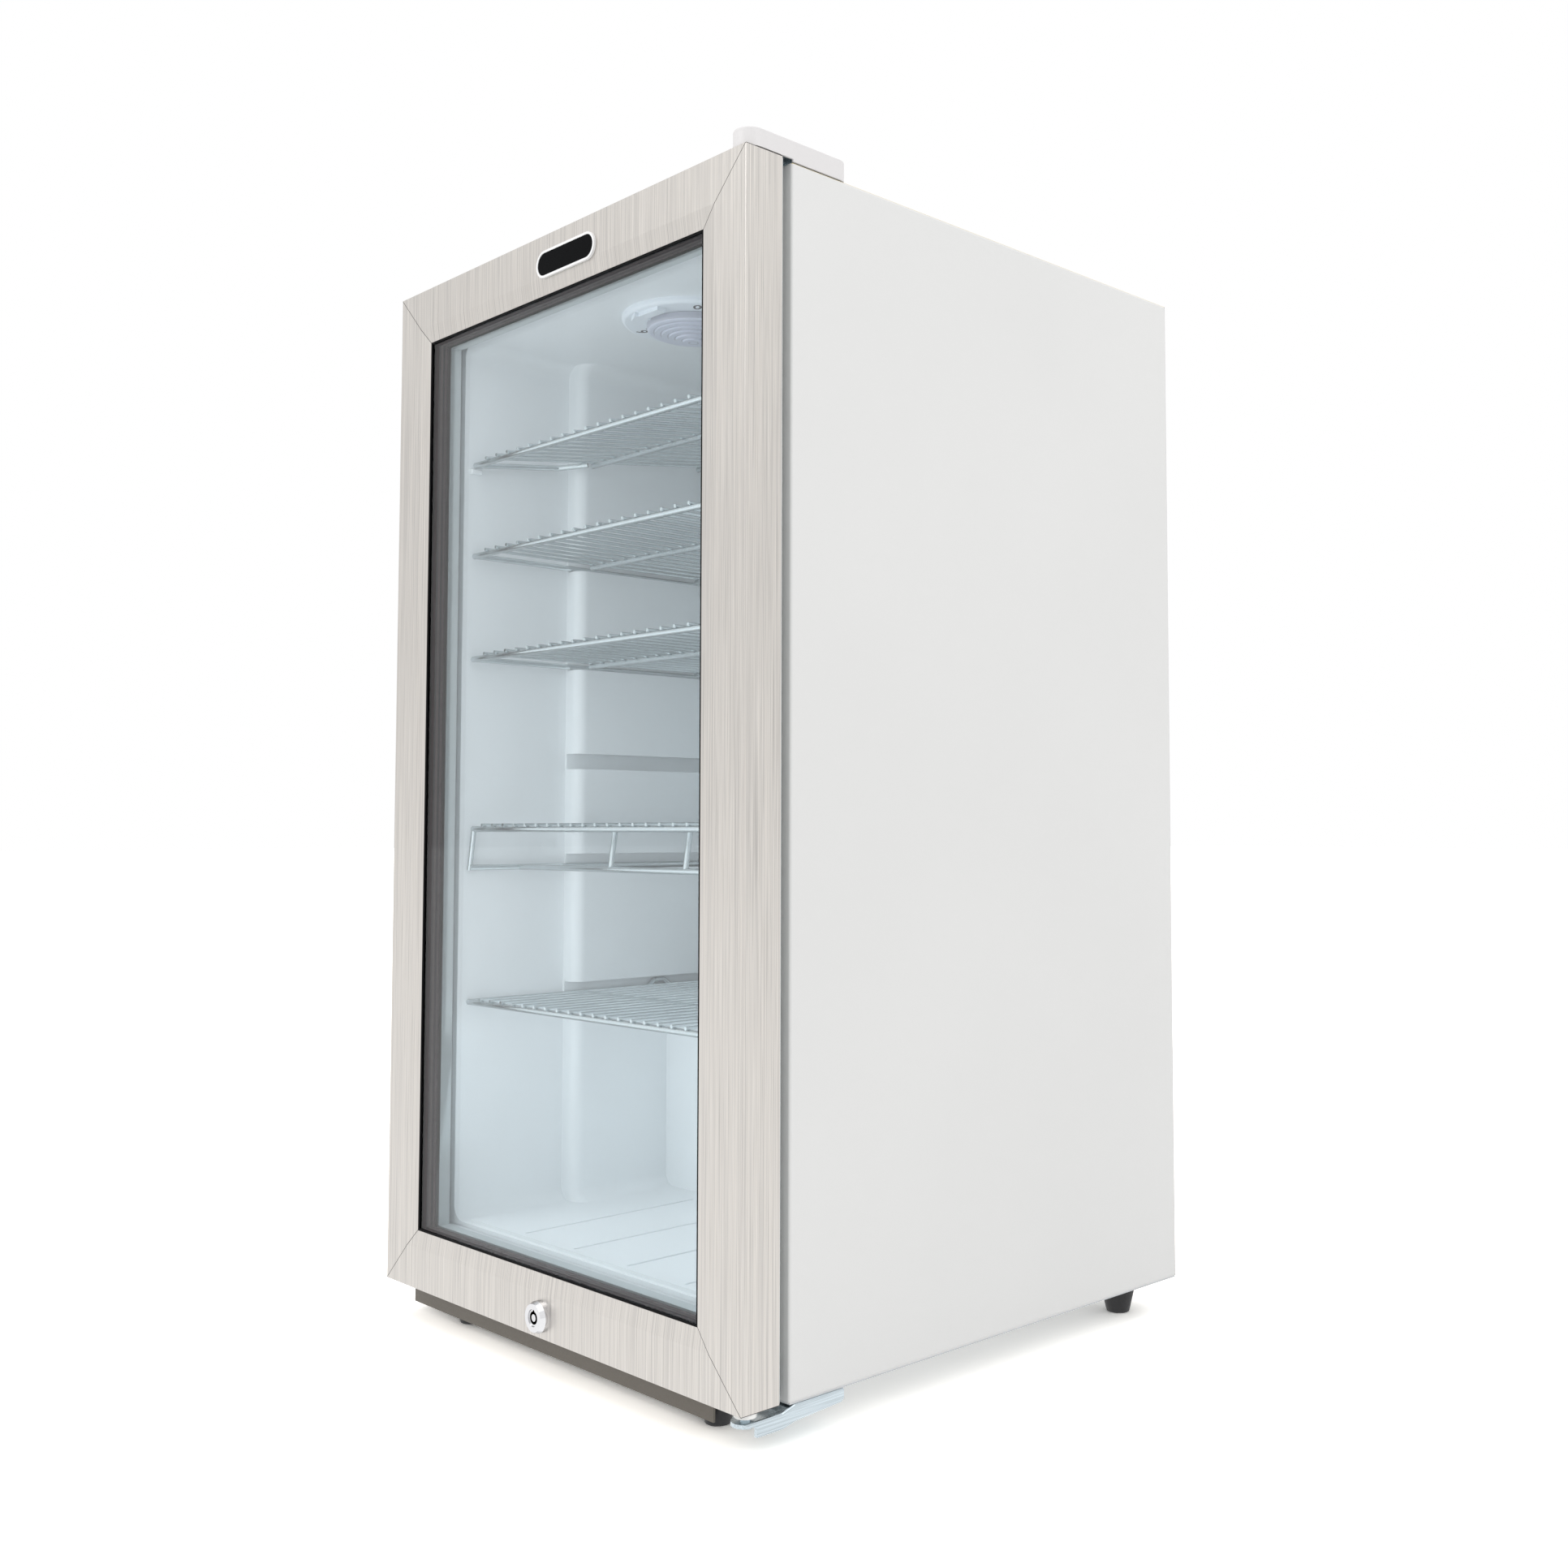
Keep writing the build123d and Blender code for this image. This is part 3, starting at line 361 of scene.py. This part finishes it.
def plated(name, colour, roughness, grain, vary):
    """Galvanised or rolled sheet, or copper pipe: mottled metal."""
    t = Tree(name, roughness, 1.0)
    blotch = t.noise(grain, 4, 0.6)
    base = t.tones(blotch, tinted(colour, 1 - vary), tinted(colour, 1 + vary * 0.4))
    t.colour(t.mix(t.spread(t.noise(30, 2), 0.0, 0.3), base, tinted(colour, 0.9)))
    t.rough(t.spread(blotch, roughness - 0.05, roughness + 0.10))
    t.bump(blotch, 0.00001, 0.4)
    return t.material


def pane_glass(name, tint):
    """Clear float glass with a faint smear in its gloss."""
    t = Tree(name, 0.02, Transmission_Weight=1.0, IOR=GLASS_INDEX)
    smear = t.noise(18, stretch=(1, 1, 0.4))
    t.colour(t.tones(smear, tint, tinted(tint, 1.01)))
    t.rough(t.spread(smear, 0.0, 0.02))
    return t.material


MATERIALS = {
    "shell": painted("coated_white_steel", srgb(219, 219, 218), 0.42, 1400, vary=0.02),
    "galvanised": plated("galvanised_sheet", srgb(196, 199, 201), 0.38, 60, 0.16),
    "liner": painted("liner_plastic", srgb(241, 245, 247), 0.34, 500, 0.00002, 0.02),
    "foam": painted("cast_foam", srgb(226, 206, 150), 0.85, 300, 0.0002, 0.10),
    "dark_sheet": painted("dark_coated_sheet", srgb(54, 55, 58), 0.45),
    "black_plastic": painted("black_moulding", srgb(34, 34, 36), 0.5),
    "black_rubber": rubber("black_rubber", srgb(28, 28, 28)),
    "black_paint": painted("black_gloss_paint", srgb(24, 24, 26), 0.25, 200, 0.00005, 0.05),
    "copper": plated("copper_pipe", srgb(206, 140, 104), 0.3, 200, 0.16),
    "aluminium": plated("aluminium_sheet", srgb(214, 216, 218), 0.35, 120, 0.10),
    "control_plastic": painted("control_moulding", srgb(240, 246, 252), 0.32),
    "knob_plastic": ridged_knob("knob_moulding", srgb(210, 214, 228)),
    "zinc": brushed("bright_zinc", srgb(196, 207, 213), (900, 14, 900), 0.30, 0.22),
    "cover_plastic": painted("cover_moulding", srgb(218, 216, 216), 0.40),
    # The base strip under the door takes the brown-grey it shows in shade there: painted shade.
    "base_plastic": painted("base_strip_painted_shade", srgb(110, 104, 95), 0.5, 500, 0.00004, 0.10),
    "foot_rubber": rubber("foot_rubber", srgb(24, 24, 26), 0.55),
    "shelf_wire": wire("coated_wire", srgb(232, 238, 240)),
    "stainless": door_steel("brushed_stainless", srgb(210, 206, 201)),
    "frame_plastic": painted("inner_frame_moulding", srgb(200, 207, 208), 0.4),
    "glass": pane_glass("float_glass", (0.955, 0.98, 0.99, 1.0)),
    "spacer": spacer_bar("spacer_bar", srgb(54, 42, 44)),
    "seal": rubber("black_sealant", srgb(6, 6, 8), 0.6, Specular_IOR_Level=0.1),
    # The gasket's second colour is painted light on the seal's inner wall.
    "gasket": gasket_vinyl("gasket_vinyl", srgb(160, 158, 154), srgb(232, 236, 238)),
    "badge_rim": painted("badge_rim_gloss", srgb(238, 238, 238), 0.18),
    "badge_black": painted("badge_black_gloss", srgb(3, 4, 6), 0.3, 300, 0.00001, 0.04,
                           Specular_IOR_Level=0.03),
    "chrome": lock_metal("polished_chrome", srgb(226, 226, 228)),
    "bush_plastic": painted("bush_moulding", srgb(238, 238, 236), 0.35),
}

for part in frame["record"]["subparts"]:
    node = NODES[part["node"]]
    node.data.materials.clear()
    node.data.materials.append(MATERIALS[part["material_slot"]])

NODES["lock_core"].data.materials[0] = lock_metal("lock_plug_chrome", srgb(222, 222, 224), True)
for name in ("outer_glass", "inner_glass"):
    NODES[name].visible_shadow = False

# ------------------------------------------------------------------ added pieces

DIAL_NUMBERS = 7
DIAL_START = -35  # degrees, of the 0
DIAL_STEP = 40
DIAL_RADIUS = 0.0441
NUMBER_SIZE = 0.0135
NUMBER_BOLD = 0.0002
NUMBER_RELIEF = 0.00008
DOT_RING = 0.0385
DOT_TURN = 7  # degrees from a number to its dot
DOT_RADIUS = 0.0009
DOT_RELIEF = 0.0002
DOT_SIDES = 20


def link(obj, material, body="cabinet"):
    """Puts a new piece into the scene, on its body."""
    obj.data.materials.append(material)
    bpy.context.collection.objects.link(obj)
    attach(obj, body)
    return obj


def on_circle(middle, degrees, radius):
    angle = math.radians(degrees)
    return middle + Vector((math.cos(angle), math.sin(angle), 0)) * radius


def make_dial_scale():
    """Printed numbers 0 to 6 and a dot for each, round the thermostat knob, read from below."""
    ink = painted("dial_ink", srgb(30, 34, 38), 0.5)
    low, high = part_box("thermostat_housing")
    middle = Vector(((low.x + high.x) / 2, (low.y + high.y) / 2, low.z))
    for number in range(DIAL_NUMBERS):
        degrees = DIAL_START + DIAL_STEP * number
        text = bpy.data.curves.new("dial_number_%d" % number, "FONT")
        text.body = str(number)
        text.size = NUMBER_SIZE
        text.offset = NUMBER_BOLD
        text.align_x = text.align_y = "CENTER"
        text.extrude = NUMBER_RELIEF
        obj = bpy.data.objects.new("dial_number_%d" % number, text)
        obj.location = on_circle(middle, degrees, DIAL_RADIUS)
        obj.rotation_euler = (math.pi, 0, math.radians(degrees) + math.pi / 2)
        link(obj, ink)
        mesh = bpy.data.meshes.new("dial_dot_%d" % number)
        shape = bmesh.new()
        bmesh.ops.create_cone(shape, cap_ends=True, segments=DOT_SIDES, radius1=DOT_RADIUS,
                              radius2=DOT_RADIUS, depth=DOT_RELIEF)
        shape.to_mesh(mesh)
        shape.free()
        obj = bpy.data.objects.new("dial_dot_%d" % number, mesh)
        obj.location = on_circle(middle, degrees + DOT_TURN, DOT_RING)
        link(obj, ink)


make_dial_scale()

# ------------------------------------------------------------------ stage, light, camera

FLOOR_HALF = 30
FLOOR_BOUNCE = grey(0.86)
FLOOR_SEEN = (1.60, 1.57, 1.52, 1)  # bright enough for plain white round the shadow
FLOOR_GLOW = 1.2  # what glossy surfaces see of the floor
FILL_PLANE = -0.1985  # just inside the cabinet's mouth
FILL_WIDTH = 0.34

CAMERA_PLACE = (0.97606, -0.87152, 0.38194)
CAMERA_YAW, CAMERA_PITCH = 45.59, 3.265
SENSOR_WIDTH = 36
LENS = 37.16
SHIFT_X, SHIFT_Y = -0.0461, -0.0297
CLIP_START = 0.01


def make_floor():
    """Pale floor: plain white to the camera, light grey to other light, even in reflections."""
    floor = bpy.data.meshes.new("floor")
    corners = [(x * FLOOR_HALF, y * FLOOR_HALF, 0) for x, y in ((-1, -1), (1, -1), (1, 1), (-1, 1))]
    floor.from_pydata(corners, [], [(0, 1, 2, 3)])
    obj = bpy.data.objects.new("floor", floor)
    bpy.context.collection.objects.link(obj)
    t = Tree("studio_floor")
    ray = t.add("LightPath").outputs
    matt = t.add("BsdfDiffuse")
    shade = t.mix(ray["Is Camera Ray"], FLOOR_BOUNCE, FLOOR_SEEN)
    tone = t.tones(t.noise(3, 2), grey(0.99), grey(1))
    t.links.new(t.mix(1.0, shade, tone, "MULTIPLY"), matt.inputs["Color"])
    lit = t.add("MixShader")
    t.links.new(ray["Is Glossy Ray"], lit.inputs[0])
    t.links.new(matt.outputs[0], lit.inputs[1])
    t.links.new(t.add("Emission", Strength=FLOOR_GLOW).outputs[0], lit.inputs[2])
    t.links.new(lit.outputs[0], t.out.inputs[0])
    t.nodes.remove(t.shader)
    floor.materials.append(t.material)


def make_world():
    world = bpy.data.worlds.new("studio")
    bpy.context.scene.world = world
    world.use_nodes = True
    background = world.node_tree.nodes["Background"]
    background.inputs["Color"].default_value = grey(1)
    background.inputs["Strength"].default_value = 1.0


def area_light(name, place, target, size, power, colour=(1, 1, 1), seen=True):
    """Rectangular light at place, turned to target; seen is false for one that only lights."""
    data = bpy.data.lights.new(name, "AREA")
    data.shape = "RECTANGLE"
    data.size, data.size_y = size
    data.energy = power
    data.color = colour
    obj = bpy.data.objects.new(name, data)
    bpy.context.collection.objects.link(obj)
    obj.location = place
    way = Vector(target) - Vector(place)
    obj.rotation_euler = way.to_track_quat("-Z", "Y").to_euler()
    obj.visible_camera = obj.visible_glossy = obj.visible_transmission = seen


def cabinet_light(name, height, target_height, tall, power, colour):
    """Soft fill in the cabinet's mouth, shining in."""
    area_light(name, (0, FILL_PLANE, height), (0, 0, target_height), (FILL_WIDTH, tall), power,
               colour, seen=False)


def make_camera():
    """Seen from the front right, a little below half height, looking slightly up."""
    data = bpy.data.cameras.new("camera")
    data.sensor_width = SENSOR_WIDTH
    data.lens = LENS
    data.shift_x = SHIFT_X
    data.shift_y = SHIFT_Y
    data.clip_start = CLIP_START
    obj = bpy.data.objects.new("camera", data)
    bpy.context.collection.objects.link(obj)
    yaw, pitch = math.radians(CAMERA_YAW), math.radians(CAMERA_PITCH)
    forward = Vector((-math.sin(yaw) * math.cos(pitch),
                      math.cos(yaw) * math.cos(pitch),
                      math.sin(pitch)))
    right = Vector((math.cos(yaw), math.sin(yaw), 0))
    up = right.cross(forward)
    rotation = Matrix((right, up, -forward)).transposed().to_4x4()
    obj.matrix_world = Matrix.Translation(CAMERA_PLACE) @ rotation
    bpy.context.scene.camera = obj


make_camera()
make_floor()
make_world()
area_light("overhead", (0.2, -0.3, 3.0), (0.1, -0.1, 0), (3.2, 3.2), 15)
area_light("key", (-0.7, -2.6, 2.4), (0, 0, 0.35), (1.6, 1.6), 18)
area_light("side", (2.0, 0.2, 1.9), (0.2, 0, 0.7), (1.2, 1.2), 6)
cabinet_light("cabinet_fill", 0.50, 0.50, 0.56, 0.42, (0.985, 0.99, 1.0))
cabinet_light("low_fill", 0.155, 0.13, 0.15, 0.10, (0.90, 0.96, 1.0))
bpy.context.scene.view_settings.view_transform = "Standard"
